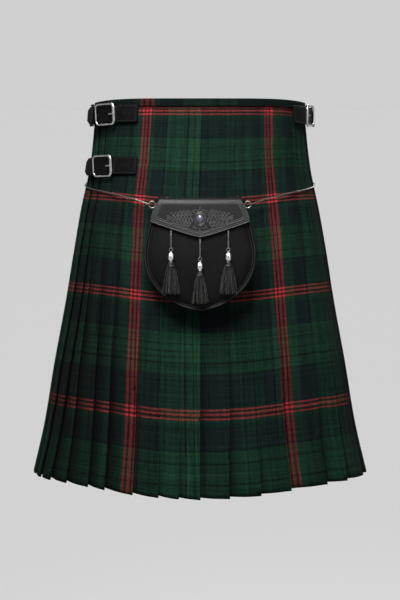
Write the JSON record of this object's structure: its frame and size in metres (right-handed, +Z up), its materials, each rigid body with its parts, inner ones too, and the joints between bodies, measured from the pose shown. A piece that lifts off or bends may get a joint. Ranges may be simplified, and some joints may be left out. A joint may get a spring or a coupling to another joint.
{
  "type": "scottish kilt with belted sporran, worn and empty",
  "caption": "Pleated tartan kilt held in its worn form, open at waist and hem, with buckled leather straps and a black leather sporran on a chain belt.",
  "frame": {"origin": "centre of the waist opening, at the height of the top edge over the hips, where the wearer's waist holds the kilt", "axes": "+Z up along the wearer's height, -Y towards the front where the sporran hangs, +X towards the wearer's left"},
  "size_m": [0.5612, 0.4286, 0.6209],
  "materials": {
    "tartan_wool": "woven wool tartan of green and navy with red lines, matt with a faint nap",
    "black_leather": "black grained leather, satin, stitched",
    "silver_metal": "silver plated and worn in its hollows",
    "dark_stone": "polished opaque stone, dark blue grey"
  },
  "bodies": {
    "root": {"over_apron": "tartan_wool", "under_apron": "tartan_wool", "waistband": "tartan_wool", "pleats_left_hip": "tartan_wool", "pleats_left_back": "tartan_wool", "pleats_back_left": "tartan_wool", "pleats_back_right": "tartan_wool", "pleats_right_back": "tartan_wool", "pleats_right_hip": "tartan_wool", "back_strap": "black_leather", "buckle_tab_hip_right": "black_leather", "buckle_tab_waist_left": "black_leather", "buckle_tab_waist_right": "black_leather", "keeper_waist_left": "black_leather", "keeper_waist_right": "black_leather", "sporran_back": "black_leather", "sporran_flap": "black_leather", "sporran_loop_left": "black_leather", "sporran_loop_right": "black_leather", "sporran_pouch": "black_leather", "sporran_rim": "black_leather", "strap_hip_right": "black_leather", "strap_waist_left": "black_leather", "strap_waist_right": "black_leather", "tassel_left": "black_leather", "tassel_middle": "black_leather", "tassel_right": "black_leather", "back_ring_left": "silver_metal", "back_ring_right": "silver_metal", "buckle_hip_right": "silver_metal", "buckle_waist_left": "silver_metal", "buckle_waist_right": "silver_metal", "chain_left": "silver_metal", "chain_right": "silver_metal", "prong_hip_right": "silver_metal", "prong_waist_left": "silver_metal", "prong_waist_right": "silver_metal", "sporran_bezel": "silver_metal", "sporran_ring_left": "silver_metal", "sporran_ring_right": "silver_metal", "tassel_bead_left": "silver_metal", "tassel_bead_middle": "silver_metal", "tassel_bead_right": "silver_metal", "tassel_chain_left": "silver_metal", "tassel_chain_middle": "silver_metal", "tassel_chain_right": "silver_metal", "tassel_ring_left": "silver_metal", "tassel_ring_middle": "silver_metal", "tassel_ring_right": "silver_metal", "sporran_stone": "dark_stone"}
  },
  "joints": []
}
